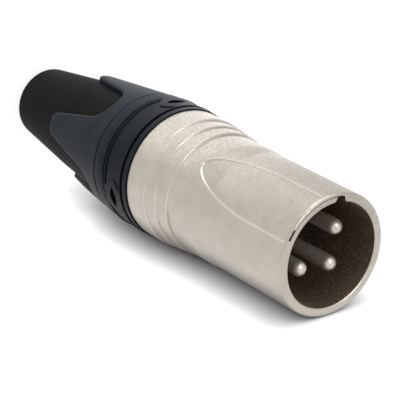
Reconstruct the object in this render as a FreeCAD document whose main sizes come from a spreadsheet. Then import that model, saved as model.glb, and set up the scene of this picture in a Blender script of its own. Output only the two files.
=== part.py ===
import FreeCAD, Part
import Sketcher
import math
import os

from FreeCAD import Vector

# Three-pole male cable plug, standing on its cable end. The axis is Z, the mouth is up,
# and the lengthwise tongue on the metal housing faces -Y.

# Driving sizes in millimetres and degrees
sizes = {
    # lengths along the axis, from the cable end to the mouth
    "bootTail": 14.4,  # boot that stands free of the gland
    "coneLength": 16.1,  # gland from its finger tips to its collar
    "collarLength": 2.4,
    "ringLength": 6.4,
    "ringGap": 0.1,  # axial play on each side of the ring
    "housingLength": 36.0,
    # housing, outside; every other radius follows from the sleeve's
    "sleeveRadius": 9.5,  # standard mating sleeve
    "sleeveLength": 18.0,
    "flareRise": 1.05,
    "rearBand": 4.0,  # length at the full rear radius
    "rimRound": 0.5,
    "rimChamfer": 0.15,
    # housing, inside
    "sleeveWall": 1.4,
    "mouthDepth": 13.5,
    "mouthStep": 0.5,  # from the mouth out to the bore behind it
    "rearWall": 1.3,
    "threadDepth": 6.5,
    # finger grips, three scooped steps on each of two sides
    "stepAhead": 0.4,  # from the start of the flare to the rearmost step
    "stepPitch": 2.6,
    "gripAngle": -157.5,
    "gripDepthRear": 0.3,
    "gripDepthMiddle": 0.57,
    "gripDepthFront": 0.89,
    "gripReachRear": 76.0,
    "gripReachMiddle": 81.0,
    "gripReachFront": 86.0,
    # tongue on the housing
    "tongueHalfWidth": 4.2,
    "tongueFront": 0.6,  # from the mouth to where the outline starts
    "tongueStraight": 8.0,
    "tongueLength": 22.6,
    "tongueDepth": 0.1,
    "lipWidth": 0.28,
    "lipRise": 0.3,  # at the full rear radius, falling to nothing at the sleeve
    # slot and fine gap on the rim beside the tongue
    "slotInset": 0.54,
    "slotWidth": 0.34,
    "slotDepth": 0.55,
    "slotArc": 10.0,
    "slotAngle": -76.5,
    "seamWidth": 0.12,
    "seamDepth": 0.28,
    "seamArc": 60.0,
    # key groove and latch recess in the mouth
    "keyAngle": -135.0,
    "keyDepth": 0.93,
    "keyBaseWidth": 2.2,
    "keyTopWidth": 1.1,
    "latchBack": 4.5,
    "latchLength": 3.6,
    "latchDepth": 0.6,
    "latchArc": 28.0,
    # contacts
    "pinRadius": 1.18,
    "pinSeatRadius": 1.5,
    "pinCollarRadius": 1.75,
    "pinLift": 0.13,  # third contact is this much nearer to the axis than the other two
    "pinRecess": 2.35,  # tips behind the mouth
    "pinFit": 0.02,
    "cupRise": 2.63,  # open end of the cups above the insert's rear end
    "cupDepth": 4.6,
    "cupBore": 1.2,
    "cupOpening": 3.4,
    # contact insert
    "insertPlay": 0.05,
    "discThickness": 4.5,
    "counterbore": 2.5,
    "bossRadius": 2.1,
    "bossHeight": 0.5,
    "springRoom": 0.5,  # round the skirt, for the earth contact
    "skirtWall": 1.0,
    "partitionWidth": 1.0,
    "partitionRise": 3.95,  # partitions start this far above the insert's rear end
    "keyRibWidth": 1.8,
    "keyRibHeight": 0.75,
    "keyRibPlay": 0.1,
    # earth contact
    "earthThickness": 0.35,
    "earthRise": 3.45,  # spring band starts this far above the insert's rear end
    "earthArc": 60.0,
    "lugWidth": 2.4,
    "lugReach": 2.9,
    "lugDrop": 2.6,
    "lugHole": 0.6,
    "lugPlay": 0.3,
    # chuck
    "chuckTailWall": 1.1,
    "chuckPlay": 0.1,
    "chuckTaperPlay": 0.12,
    "chuckTail": 0.7,
    "chuckSlits": 6,
    "chuckSlitWidth": 0.9,
    "chuckSlitLength": 12.8,
    "chuckTeeth": 4,
    "toothPitch": 1.6,
    "toothDepth": 0.35,
    # gland
    "noseFit": 0.05,
    "noseWall": 1.5,
    "nosePlay": 0.2,
    "collarProud": 0.05,  # collar outside the housing
    "coneStep": 0.1,  # cone inside the collar
    "coneFall": 1.6,
    "fineGroove": 0.15,
    "taperFall": 2.4,
    "spigotWall": 1.1,
    "spigotBack": 2.6,  # spigot end above the finger tips
    "taperStart": 14.1,  # squeezing taper above the finger tips
    "taperLength": 8.0,
    "fingers": 4,
    "fingerAngle": -55.5,
    "tipFlat": 0.306,  # flat end of a finger, beyond its rounds
    "gapDepth": 12.9,
    "gapSlope": 9.0,
    "tipRound": 1.2,
    # boot
    "bootEndWall": 1.8,
    "fingerTipDepth": 1.02,  # from the cone's surface to the boot, at the finger tips
    "fingerTopDepth": 1.26,  # from the cone's top radius to the boot's hidden end
    "bootHidden": 12.6,  # length under the fingers
    "bootEndRound": 1.0,
    "cableRoom": 0.1,  # between the cable and the open chuck
    "bootFit": 0.05,
    # coding ring
    "ringProud": 0.3,
    "ringGrooveDepth": 0.65,
    "ringLowerGroove": 0.6,
    "ringUpperGroove": 0.5,
    "ringFlange": 1.0,
    "ringFlangeStep": 0.1,
    "panelLip": 0.25,
    "panelDepth": 0.18,
    "windowAngle": -79.5,
    "windowSpread": 56.0,
    "windowHalfLength": 1.85,
    "windowHalfHeight": 0.72,
    "frameHalfLength": 3.1,
}


class Size:
    # a number together with the formula that it comes from
    def __init__(self, value, formula):
        self.value = value
        self.formula = formula

    def __add__(self, other):
        other = asSize(other)
        return Size(self.value + other.value, f"({self.formula} + {other.formula})")

    def __radd__(self, other):
        return asSize(other) + self

    def __sub__(self, other):
        other = asSize(other)
        return Size(self.value - other.value, f"({self.formula} - {other.formula})")

    def __rsub__(self, other):
        return asSize(other) - self

    def __mul__(self, other):
        other = asSize(other)
        return Size(self.value * other.value, f"({self.formula} * {other.formula})")

    def __rmul__(self, other):
        return asSize(other) * self

    def __truediv__(self, other):
        other = asSize(other)
        return Size(self.value / other.value, f"({self.formula} / {other.formula})")

    def __rtruediv__(self, other):
        return asSize(other) / self

    def __neg__(self):
        return asSize(0) - self


def asSize(number):
    if isinstance(number, Size):
        return number
    return Size(float(number), repr(float(number)))


def sine(angle):
    return Size(math.sin(math.radians(angle.value)), f"sin({angle.formula})")


def cosine(angle):
    return Size(math.cos(math.radians(angle.value)), f"cos({angle.formula})")


doc = FreeCAD.newDocument("xlr_plug")
sheet = doc.addObject("Spreadsheet::Sheet", "Sizes")
for row, (name, value) in enumerate(sizes.items(), 1):
    sheet.set(f"A{row}", name)
    sheet.set(f"B{row}", str(value))
    sheet.setAlias(f"B{row}", name)
doc.recompute()
size = {name: Size(float(sheet.get(name)), f"Sizes.{name}") for name in sizes}
zero = asSize(0)
over = asSize(1)  # how far a cutting shape runs past what it cuts


# Radii that follow from the sleeve
size["mouthRadius"] = size["sleeveRadius"] - size["sleeveWall"]
size["boreRadius"] = size["mouthRadius"] + size["mouthStep"]
size["rearRadius"] = size["sleeveRadius"] + size["flareRise"]
size["threadRadius"] = size["rearRadius"] - size["rearWall"]
size["slotRadius"] = size["sleeveRadius"] - size["slotInset"]
size["keyTopRadius"] = size["mouthRadius"] + size["keyDepth"]
size["pinOffset"] = size["mouthRadius"] / 2
size["pinRise"] = size["pinOffset"] - size["pinLift"]
size["skirtRadius"] = size["boreRadius"] - size["springRoom"]
size["keyRibRadius"] = size["skirtRadius"] + size["keyRibHeight"]
size["lugInset"] = size["skirtRadius"] - size["lugReach"]
size["noseRadius"] = size["threadRadius"] - size["noseFit"]
size["noseBore"] = size["noseRadius"] - size["noseWall"]
size["spigotBore"] = size["noseBore"] - size["taperFall"]
size["spigotRadius"] = size["spigotBore"] + size["spigotWall"]
size["chuckBore"] = size["spigotBore"] - size["chuckTailWall"]
size["cableRadius"] = size["chuckBore"] - size["cableRoom"]
size["collarRadius"] = size["rearRadius"] + size["collarProud"]
size["coneTopRadius"] = size["collarRadius"] - size["coneStep"]
size["coneTipRadius"] = size["coneTopRadius"] - size["coneFall"]
size["bootEndRadius"] = size["cableRadius"] + size["bootEndWall"]
size["bootTipRadius"] = size["coneTipRadius"] - size["fingerTipDepth"]
size["bootTopRadius"] = size["coneTopRadius"] - size["fingerTopDepth"]
size["ringRadius"] = size["rearRadius"] + size["ringProud"]
size["ringGrooveRadius"] = size["ringRadius"] - size["ringGrooveDepth"]
size["ringFlangeRadius"] = size["ringRadius"] - size["ringFlangeStep"]

# Lengths and stations along the axis
size["flareBack"] = size["housingLength"] - size["rearBand"]
size["stepBack"] = size["flareBack"] - size["stepAhead"]
tipZ = size["bootTail"]
coneTopZ = tipZ + size["coneLength"]
collarTopZ = coneTopZ + size["collarLength"]
ringZ = collarTopZ + size["ringGap"]
ringTopZ = ringZ + size["ringLength"]
housingZ = ringTopZ + size["ringGap"]
rimZ = housingZ + size["housingLength"]
floorZ = rimZ - size["mouthDepth"]
threadTopZ = housingZ + size["threadDepth"]
noseTopZ = threadTopZ - size["nosePlay"]
discZ = floorZ - size["discThickness"]
skirtZ = threadTopZ + size["insertPlay"]
chuckTopZ = skirtZ - size["insertPlay"]
partitionZ = skirtZ + size["partitionRise"]
earthZ = skirtZ + size["earthRise"]


def setAll(thing, **formulas):
    # bind properties, with a double underscore for each dot
    for name, number in formulas.items():
        thing.setExpression(name.replace("__", "."), asSize(number).formula)


def turn(thing, angle):
    # stand a piece at an angle about the plug's axis
    thing.Placement = FreeCAD.Placement(Vector(), FreeCAD.Rotation(Vector(0, 0, 1), angle.value))
    thing.setExpression("Placement.Rotation.Angle", angle.formula)


def newBody(name):
    body = doc.addObject("PartDesign::Body", name)
    body.Label = name
    return body


def originOf(body, role):
    return next(item for item in body.Origin.OriginFeatures if item.Role == role)


def sketchPath(body, name, role, path, offset=None):
    # closed outline through path points, each (x, y) or (x, y, radius) when an arc leaves it;
    # a positive radius turns left, a negative one right
    sketch = body.newObject("Sketcher::SketchObject", name)
    sketch.AttachmentSupport = [(originOf(body, role), "")]
    sketch.MapMode = "FlatFace"
    if offset is not None:
        setAll(sketch, AttachmentOffset__Base__z=offset)
    starts, ends, arcs = [], [], []
    for i, point in enumerate(path):
        follower = path[(i + 1) % len(path)]
        a = Vector(asSize(point[0]).value, asSize(point[1]).value, 0)
        b = Vector(asSize(follower[0]).value, asSize(follower[1]).value, 0)
        if len(point) == 2:
            starts.append((sketch.addGeometry(Part.LineSegment(a, b)), 1))
            ends.append((starts[-1][0], 2))
            continue
        radius = abs(point[2].value)
        left = point[2].value > 0
        chord = b - a
        reach = math.sqrt(max(radius ** 2 - (chord.Length / 2) ** 2, 0))
        side = Vector(-chord.y, chord.x, 0).normalize()
        centre = (a + b) * 0.5 + side * (reach if left else -reach)
        first, last = (a, b) if left else (b, a)
        angles = [math.atan2(p.y - centre.y, p.x - centre.x) for p in (first, last)]
        if angles[1] < angles[0]:
            angles[1] += 2 * math.pi
        circle = Part.Circle(centre, Vector(0, 0, 1), radius)
        index = sketch.addGeometry(Part.ArcOfCircle(circle, angles[0], angles[1]))
        starts.append((index, 1 if left else 2))
        ends.append((index, 2 if left else 1))
        arcs.append((index, point[2] if left else -point[2]))
    constraints, formulas = [], []
    for i, point in enumerate(path):
        constraints.append(Sketcher.Constraint("Coincident", *ends[i - 1], *starts[i]))
        for kind, axis, number in (("DistanceX", -2, point[0]), ("DistanceY", -1, point[1])):
            number = asSize(number)
            if number is zero:
                constraints.append(Sketcher.Constraint("PointOnObject", *starts[i], axis))
                continue
            formulas.append((len(constraints), number))
            constraints.append(Sketcher.Constraint(kind, -1, 1, *starts[i], number.value))
    for index, radius in arcs:
        formulas.append((len(constraints), radius))
        constraints.append(Sketcher.Constraint("Radius", index, radius.value))
    sketch.addConstraint(constraints)
    for index, number in formulas:
        sketch.setExpression(f"Constraints[{index}]", number.formula)
    return sketch


def addTurned(body, name, path, arc=None):
    # turned form from a half section of (radius, height) points
    sketch = sketchPath(body, name + "_section", "XZ_Plane", path)
    spin = body.newObject("PartDesign::Revolution", name + "_turned")
    spin.Profile = sketch
    spin.ReferenceAxis = (sketch, ["V_Axis"])
    spin.Angle = 360
    if arc is not None:
        setAll(spin, Angle=arc)
    return spin


def revolved(name, path, arc=None):
    body = newBody(name)
    addTurned(body, name, path, arc)
    return body


def boredHole(body, name, path, offset, length):
    # pocket cut outwards along +X from a plane at the offset
    sketch = sketchPath(body, name + "_outline", "YZ_Plane", path, offset)
    pocket = body.newObject("PartDesign::Pocket", name)
    pocket.Profile = sketch
    pocket.Type = "Length"
    pocket.Reversed = True
    setAll(pocket, Length=length)
    return pocket


def aroundAxis(body, feature, name, count):
    pattern = body.newObject("PartDesign::PolarPattern", name)
    pattern.Originals = [feature]
    pattern.Axis = (originOf(body, "Z_Axis"), [""])
    pattern.Angle = 360
    setAll(pattern, Occurrences=count)
    body.Tip = pattern
    return pattern


def cylinder(name, radius, bottom, top, x=zero, y=zero):
    item = doc.addObject("Part::Cylinder", name)
    setAll(item, Radius=radius, Height=top - bottom)
    setAll(item, Placement__Base__x=x, Placement__Base__y=y, Placement__Base__z=bottom)
    return item


def box(name, x, y, z):
    # each of x, y and z is a (low, high) pair
    item = doc.addObject("Part::Box", name)
    setAll(item, Length=x[1] - x[0], Width=y[1] - y[0], Height=z[1] - z[0])
    setAll(item, Placement__Base__x=x[0], Placement__Base__y=y[0], Placement__Base__z=z[0])
    return item


def cut(name, base, tool):
    item = doc.addObject("Part::Cut", name)
    item.Base, item.Tool = base, tool
    return item


def fuse(name, *pieces):
    item = doc.addObject("Part::MultiFuse", name)
    item.Shapes = list(pieces)
    return item


def common(name, *pieces):
    item = doc.addObject("Part::MultiCommon", name)
    item.Shapes = list(pieces)
    return item


def housingForm(name, grow):
    # outer form of the housing, grown by a skin thickness, with its stepped grips
    sleeve = size["sleeveRadius"] + grow
    rear = size["rearRadius"] + grow
    roundOff = size["rimRound"] + grow
    flareStart = rimZ - size["sleeveLength"]
    flareEnd = rimZ - size["flareBack"]
    form = revolved(name + "_form", [
        (zero, housingZ),
        (rear, housingZ),
        (rear, flareEnd),
        (sleeve, flareStart),
        (sleeve, rimZ - roundOff, roundOff),
        (sleeve - roundOff, rimZ),
        (zero, rimZ),
    ])
    flare = (size["rearRadius"] - size["sleeveRadius"]) / (size["flareBack"] - size["sleeveLength"])
    rows = ("Rear", "Middle", "Front")
    for i, row in enumerate(rows):
        back = size["stepBack"] - size["stepPitch"] * i
        ridge = size["sleeveRadius"] + flare * (back - size["sleeveLength"])
        deep = size["rearRadius"] - size["gripDepth" + row]
        shift = (ridge - deep) / (1 - cosine(size["gripReach" + row]))
        stepZ = rimZ - back
        scoops = []
        for side, angle in ((1, size["gripAngle"]), (-1, size["gripAngle"] + 180)):
            scoop = cylinder(f"{name}_scoop_{row}_{side + 1}", deep + shift + grow, stepZ - over, rimZ + over,
                             shift * cosine(angle), shift * sine(angle))
            turn(scoop, angle)
            setAll(scoop, Placement__Base__x=shift * cosine(angle), Placement__Base__y=shift * sine(angle))
            scoops.append(scoop)
        kept = common(f"{name}_kept_{row}", *scoops)
        blank = cylinder(f"{name}_blank_{row}", rear + over, stepZ, rimZ + over)
        form = cut(f"{name}_stepped_{row}", form, cut(f"{name}_scooped_{row}", blank, kept))
    return form


def tongueTool(name, grow):
    # tongue outline, straight towards the mouth with a half ellipse behind, reaching out along -Y
    halfWidth = size["tongueHalfWidth"] + grow
    bendZ = rimZ - size["tongueStraight"]
    inside = size["mouthRadius"] / 2
    outside = size["rearRadius"] + over
    ellipse = doc.addObject("Part::Ellipse", name + "_ellipse")
    setAll(ellipse, MajorRadius=size["tongueLength"] - size["tongueStraight"] + grow)
    setAll(ellipse, MinorRadius=halfWidth)
    ellipse.Placement.Rotation = FreeCAD.Rotation(Vector(0, 0, 1), Vector(1, 0, 0), Vector(0, -1, 0), "ZXY")
    setAll(ellipse, Placement__Base__y=-inside, Placement__Base__z=bendZ)
    end = doc.addObject("Part::Extrusion", name + "_end")
    end.Base = ellipse
    end.DirMode = "Custom"
    end.Dir = Vector(0, -1, 0)
    end.Solid = True
    setAll(end, LengthFwd=outside - inside)
    frontZ = rimZ - size["tongueFront"]
    front = box(name + "_front", (-halfWidth, halfWidth), (-outside, -inside), (bendZ, frontZ))
    across = (-halfWidth - over, halfWidth + over)
    extent = box(name + "_extent", across, (-outside - over, over), (housingZ, frontZ))
    return common(name, fuse(name + "_blank", end, front), extent)


def arcCutter(name, inner, outer, bottom, top, start, arc):
    piece = revolved(name, [(inner, bottom), (outer, bottom), (outer, top), (inner, top)], arc)
    turn(piece, start)
    return piece


def makeShell():
    field = tongueTool("tongue_field", zero)
    outline = tongueTool("tongue_outline", size["lipWidth"])
    plain = cut("shell_outside_tongue", housingForm("shell_full", zero), field)
    floor = housingForm("shell_floor", -size["tongueDepth"])
    # the lip round the rear of the tongue stands on the flare only,
    # so a mating part still slides over the sleeve
    lipForm = revolved("tongue_lip_form", [
        (zero, rimZ - size["flareBack"]),
        (size["rearRadius"] + size["lipRise"], rimZ - size["flareBack"]),
        (size["sleeveRadius"], rimZ - size["sleeveLength"]),
        (zero, rimZ - size["sleeveLength"]),
    ])
    lip = common("tongue_lip", lipForm, cut("tongue_lip_band", outline, field))
    outside = fuse("shell_outside", plain, floor, lip)

    chamfer = size["rimChamfer"]
    mouth = size["mouthRadius"]
    bore = revolved("shell_bore", [
        (zero, housingZ - over),
        (size["threadRadius"], housingZ - over),
        (size["threadRadius"], threadTopZ),
        (size["boreRadius"], threadTopZ),
        (size["boreRadius"], floorZ),
        (mouth, floorZ),
        (mouth, rimZ - chamfer),
        (mouth + chamfer + over, rimZ + over),
        (zero, rimZ + over),
    ])
    keyMiddle = size["mouthRadius"] / 2
    keyRoot = size["keyTopRadius"]
    keyGroove = newBody("key_groove")
    keySection = sketchPath(keyGroove, "key_groove_section", "XY_Plane", [
        (keyMiddle, -size["keyBaseWidth"] / 2),
        (mouth, -size["keyBaseWidth"] / 2),
        (keyRoot, -size["keyTopWidth"] / 2),
        (keyRoot, size["keyTopWidth"] / 2),
        (mouth, size["keyBaseWidth"] / 2),
        (keyMiddle, size["keyBaseWidth"] / 2),
    ], floorZ)
    keyPad = keyGroove.newObject("PartDesign::Pad", "key_groove_pad")
    keyPad.Profile = keySection
    setAll(keyPad, Length=size["mouthDepth"] + over)
    turn(keyGroove, size["keyAngle"])

    latchTop = rimZ - size["latchBack"]
    latch = arcCutter("latch_recess", mouth - over, mouth + size["latchDepth"], latchTop - size["latchLength"],
                      latchTop, -90 - size["latchArc"] / 2, size["latchArc"])
    slot = arcCutter("rim_slot", size["slotRadius"], size["slotRadius"] + size["slotWidth"],
                     rimZ - size["slotDepth"], rimZ + over, size["slotAngle"], size["slotArc"])
    seam = arcCutter("rim_seam", size["slotRadius"], size["slotRadius"] + size["seamWidth"],
                     rimZ - size["seamDepth"], rimZ + over, size["slotAngle"] - size["seamArc"],
                     size["seamArc"] + size["slotArc"] / 2)
    ribWidth = size["keyRibWidth"] + 2 * size["keyRibPlay"]
    ribGroove = box("rib_groove", (-ribWidth / 2, ribWidth / 2),
                    (mouth, size["keyRibRadius"] + size["keyRibPlay"]), (threadTopZ - over, floorZ))
    shell = cut("shell_part", outside, fuse("shell_hollows", bore, keyGroove, latch, slot, seam, ribGroove))
    shell.Label = "shell"
    return shell


def pinPlaces():
    side = size["pinOffset"]
    return {"pin_1": (-side, zero), "pin_2": (side, zero), "pin_3": (zero, size["pinRise"])}


def makeInsert():
    rim = size["boreRadius"] - size["insertPlay"]
    skirt = size["skirtRadius"]
    inner = skirt - size["skirtWall"]
    blank = revolved("insert_blank", [
        (zero, discZ),
        (inner, discZ),
        (inner, skirtZ),
        (skirt, skirtZ),
        (skirt, discZ),
        (rim, discZ),
        (rim, floorZ),
        (zero, floorZ),
    ])
    pieces = [blank]
    half = size["partitionWidth"] / 2
    reach = inner + size["skirtWall"] / 2
    for name, angle in (("left", 135), ("right", 45), ("front", 270)):
        wall = box("partition_" + name, (zero, reach), (-half, half), (partitionZ, discZ + half))
        wall.Placement = FreeCAD.Placement(Vector(), FreeCAD.Rotation(Vector(0, 0, 1), angle))
        along, across = cosine(asSize(angle)), sine(asSize(angle))
        setAll(wall, Placement__Base__x=half * across, Placement__Base__y=-half * along)
        setAll(wall, Placement__Base__z=partitionZ)
        pieces.append(wall)
    ribHalf = size["keyRibWidth"] / 2
    pieces.append(box("insert_key_rib", (-ribHalf, ribHalf), (inner + half, size["keyRibRadius"]),
                      (partitionZ, floorZ - size["keyRibPlay"])))
    holes = []
    for name, (x, y) in pinPlaces().items():
        pieces.append(cylinder(name + "_boss", size["bossRadius"], floorZ - over, floorZ + size["bossHeight"], x, y))
        holes.append(cylinder(name + "_hole", size["pinSeatRadius"] + size["pinFit"], discZ - over,
                              floorZ + size["bossHeight"] + over, x, y))
        holes.append(cylinder(name + "_counterbore", size["pinCollarRadius"] + size["pinFit"], discZ - over,
                              discZ + size["counterbore"], x, y))
    notchHalf = size["lugWidth"] / 2 + size["lugPlay"]
    holes.append(box("lug_notch", (-notchHalf, notchHalf), (-skirt - over, -inner + half),
                     (skirtZ - over, earthZ + over + size["lugPlay"])))
    insert = cut("insert_part", fuse("insert_solid", *pieces), fuse("insert_holes", *holes))
    insert.Label = "contact_insert"
    return insert


def makePin(name, x, y):
    # round contact with a domed tip and an open solder cup at its rear
    collarTop = discZ + size["counterbore"] - size["pinFit"]
    cupZ = skirtZ + size["cupRise"]
    tip = rimZ - size["pinRecess"]
    radius = size["pinRadius"]
    seat = size["pinSeatRadius"]
    collar = size["pinCollarRadius"]
    body = revolved(name, [
        (size["cupBore"], cupZ),
        (collar, cupZ),
        (collar, collarTop),
        (seat, collarTop),
        (seat, floorZ + size["bossHeight"]),
        (radius, floorZ + size["bossHeight"]),
        (radius, tip - radius, radius),
        (zero, tip),
        (zero, cupZ + size["cupDepth"]),
        (size["cupBore"], cupZ + size["cupDepth"]),
    ])
    wide = collar + over
    opening = [(-wide, cupZ - over), (wide, cupZ - over), (wide, cupZ + size["cupOpening"]),
               (-wide, cupZ + size["cupOpening"])]
    boredHole(body, name + "_cup_opening", opening, size["cupBore"] / 2, wide)
    angle = math.degrees(math.atan2(y.value, x.value))
    body.Placement = FreeCAD.Placement(Vector(), FreeCAD.Rotation(Vector(0, 0, 1), angle))
    setAll(body, Placement__Base__x=x, Placement__Base__y=y)
    return body


def makeEarthContact():
    # pressed spring band against the bore, with a solder lug bent in through the skirt
    inner = size["skirtRadius"] + size["insertPlay"]
    outer = inner + size["earthThickness"]
    band = arcCutter("earth_band", inner, outer, earthZ, discZ - size["insertPlay"],
                     -90 - size["earthArc"] / 2, size["earthArc"])
    half = size["lugWidth"] / 2
    sheetEdge = inner + size["earthThickness"] / 2
    thickness = size["earthThickness"]
    shelf = box("earth_shelf", (-half, half), (-sheetEdge, -size["lugInset"]), (earthZ - thickness, earthZ))
    root = box("earth_root", (-half, half), (-sheetEdge, thickness - inner), (earthZ - thickness, earthZ + over))
    lug = box("earth_lug", (-half, half), (-size["lugInset"] - thickness, -size["lugInset"]),
              (earthZ - size["lugDrop"], earthZ))
    hole = cylinder("earth_hole", size["lugHole"], zero, size["lugInset"] + over)
    hole.Placement = FreeCAD.Placement(Vector(), FreeCAD.Rotation(Vector(1, 0, 0), 90))
    setAll(hole, Placement__Base__z=earthZ - size["lugDrop"] + size["lugHole"] * 2)
    earth = cut("earth_part", fuse("earth_solid", band, root, shelf, lug), hole)
    earth.Label = "ground_contact"
    return earth


def makeChuck():
    # split collet whose tapered jaws close on the cable
    outer = size["noseBore"] - size["chuckPlay"]
    bore = size["chuckBore"]
    slope = (size["noseBore"] - size["spigotBore"]) / size["taperLength"]
    taperZ = tipZ + size["taperStart"]
    tailZ = taperZ + size["chuckTail"]
    shoulderZ = taperZ + (outer + size["chuckTaperPlay"] - size["spigotBore"]) / slope
    tailRadius = size["spigotBore"] + slope * size["chuckTail"] - size["chuckTaperPlay"]
    path = [(bore, tailZ), (tailRadius, tailZ), (outer, shoulderZ), (outer, chuckTopZ), (bore, chuckTopZ)]
    for i in range(int(size["chuckTeeth"].value), 0, -1):
        top = tailZ + size["toothPitch"] * i
        path.append((bore, top))
        path.append((bore + size["toothDepth"], top - size["toothPitch"] / 2))
    body = revolved("chuck", path)
    half = size["chuckSlitWidth"] / 2
    slit = boredHole(body, "chuck_slit", [
        (-half, tailZ - over),
        (half, tailZ - over),
        (half, tailZ + size["chuckSlitLength"]),
        (-half, tailZ + size["chuckSlitLength"]),
    ], bore / 2, outer)
    aroundAxis(body, slit, "chuck_slits", size["chuckSlits"])
    return body


def bootTopZ():
    return tipZ + size["bootHidden"]


def makeGland():
    # screwed bushing: nose, collar, cone with fingers over the boot, spigot inside it
    nose = size["noseRadius"]
    groove = size["fineGroove"]
    webZ = bootTopZ() + size["bootFit"]
    taperZ = tipZ + size["taperStart"]
    body = revolved("gland", [
        (size["noseBore"], noseTopZ),
        (nose, noseTopZ),
        (nose, collarTopZ),
        (size["collarRadius"], collarTopZ),
        (size["collarRadius"], coneTopZ + groove),
        (size["coneTopRadius"] - groove, coneTopZ),
        (size["coneTopRadius"], coneTopZ - groove),
        (size["coneTipRadius"], tipZ),
        (size["bootTipRadius"] + size["bootFit"], tipZ),
        (size["bootTopRadius"] + size["bootFit"], webZ),
        (size["spigotBore"], webZ),
        (size["spigotBore"], taperZ),
        (size["noseBore"], taperZ + size["taperLength"]),
    ])
    slope = size["gapSlope"]
    lean = sine(slope) / cosine(slope)
    tip = size["tipRound"]
    edge = size["coneTipRadius"] * sine(180 / size["fingers"])
    # the arch runs smoothly into the sides and leaves each finger its flat end
    spare = edge - size["tipFlat"] - tip / cosine(slope) - lean * (size["gapDepth"] - tip)
    arch = spare / (cosine(slope) - lean * (1 - sine(slope)))
    archZ = tipZ + size["gapDepth"] - arch
    bendX = arch * cosine(slope)
    bendZ = archZ + arch * sine(slope)
    # the round at a finger's corner touches its sloped side and its flat tip
    cornerX = bendX + lean * (bendZ - tipZ - tip) + tip / cosine(slope)
    touchX = cornerX - tip * cosine(slope)
    touchZ = tipZ + tip - tip * sine(slope)
    gap = boredHole(body, "finger_gap", [
        (bendX, bendZ, arch),
        (zero, archZ + arch, arch),
        (-bendX, bendZ),
        (-touchX, touchZ, -tip),
        (-cornerX, tipZ),
        (-edge, tipZ),
        (-edge, tipZ - over),
        (edge, tipZ - over),
        (edge, tipZ),
        (cornerX, tipZ, -tip),
        (touchX, touchZ),
    ], size["spigotBore"] / 2, size["collarRadius"])
    aroundAxis(body, gap, "finger_gaps", size["fingers"])
    spigotZ = tipZ + size["spigotBack"]
    spigot = addTurned(body, "spigot", [
        (size["spigotBore"], spigotZ),
        (size["spigotRadius"], spigotZ),
        (size["spigotRadius"], taperZ),
        (size["spigotBore"], taperZ),
    ])
    body.Tip = spigot
    turn(body, size["fingerAngle"] + 180 / size["fingers"])
    return body


def makeBoot():
    # soft sleeve held between the gland's spigot and fingers
    end = size["bootEndRadius"]
    topZ = bootTopZ()
    socket = size["spigotRadius"] + size["bootFit"]
    socketZ = tipZ + size["spigotBack"] - 2 * size["bootFit"]
    body = revolved("boot", [
        (size["cableRadius"], zero),
        (end, zero),
        (size["bootTipRadius"], tipZ),
        (size["bootTopRadius"], topZ),
        (socket, topZ),
        (socket, socketZ),
        (size["cableRadius"], socketZ),
    ])
    doc.recompute()
    sleeve = body.Tip
    rim = [f"Edge{i}" for i, edge in enumerate(sleeve.Shape.Edges, 1)
           if edge.BoundBox.ZMax < 0.01 and edge.BoundBox.XMax > end.value - 0.01]
    fillet = body.newObject("PartDesign::Fillet", "boot_end_round")
    fillet.Base = (sleeve, rim)
    setAll(fillet, Radius=size["bootEndRound"])
    body.Tip = fillet
    return body


def lens(name, halfLength, halfHeight, middleZ, angle):
    # pointed oval seen from outside, reaching outwards through the ring
    radius = (halfLength * halfLength + halfHeight * halfHeight) / (2 * halfHeight)
    body = newBody(name)
    sketch = sketchPath(body, name + "_outline", "YZ_Plane", [
        (halfLength, middleZ, radius),
        (-halfLength, middleZ, radius),
    ], size["threadRadius"] - over)
    pad = body.newObject("PartDesign::Pad", name + "_pad")
    pad.Profile = sketch
    setAll(pad, Length=size["ringRadius"] - size["threadRadius"] + 2 * over)
    turn(body, angle)
    return body


def makeCodingRing():
    inner = size["threadRadius"]
    band = size["ringRadius"]
    groove = size["ringGrooveRadius"]
    bandZ = ringZ + size["ringLowerGroove"]
    flangeZ = ringTopZ - size["ringFlange"]
    bandTopZ = flangeZ - size["ringUpperGroove"]
    blank = revolved("ring_blank", [
        (inner, ringZ),
        (groove, ringZ),
        (groove, bandZ),
        (band, bandZ),
        (band, bandTopZ),
        (groove, bandTopZ),
        (groove, flangeZ),
        (size["ringFlangeRadius"], flangeZ),
        (size["ringFlangeRadius"], ringTopZ),
        (inner, ringTopZ),
    ])
    panel = revolved("ring_panel", [
        (band - size["panelDepth"], bandZ + size["panelLip"]),
        (band + over, bandZ + size["panelLip"]),
        (band + over, bandTopZ - size["panelLip"]),
        (band - size["panelDepth"], bandTopZ - size["panelLip"]),
    ])
    middle = (bandZ + bandTopZ) / 2
    frameHalf = (bandTopZ - bandZ) / 2
    windowLength = size["windowHalfLength"]
    windowHeight = size["windowHalfHeight"]
    frames, windows = [], []
    for half in (0, 180):
        for side in (-1, 1):
            angle = size["windowAngle"] + half + side * size["windowSpread"]
            tag = f"{half}_{side + 1}"
            frames.append(lens("window_frame_" + tag, size["frameHalfLength"], frameHalf, middle, angle))
            windows.append(lens("window_" + tag, windowLength, windowHeight, middle, angle))
    panels = cut("ring_panels", panel, fuse("ring_frames", *frames))
    ring = cut("ring_part", blank, fuse("ring_hollows", panels, *windows))
    ring.Label = "coding_ring"
    return ring


nodes = [makeShell(), makeInsert(), makeEarthContact(), makeChuck()]
nodes += [makeGland(), makeBoot(), makeCodingRing()]
nodes += [makePin(name, x, y) for name, (x, y) in pinPlaces().items()]
doc.recompute()

for item in doc.Objects:
    if "Invalid" in item.State or "Error" in item.State:
        raise SystemExit(f"{item.Label} is in state {item.State}")
for node in nodes:
    if node.Shape.isNull() or not node.Shape.isValid() or node.Shape.Volume <= 0:
        raise SystemExit(f"{node.Label} has no valid shape")

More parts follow.
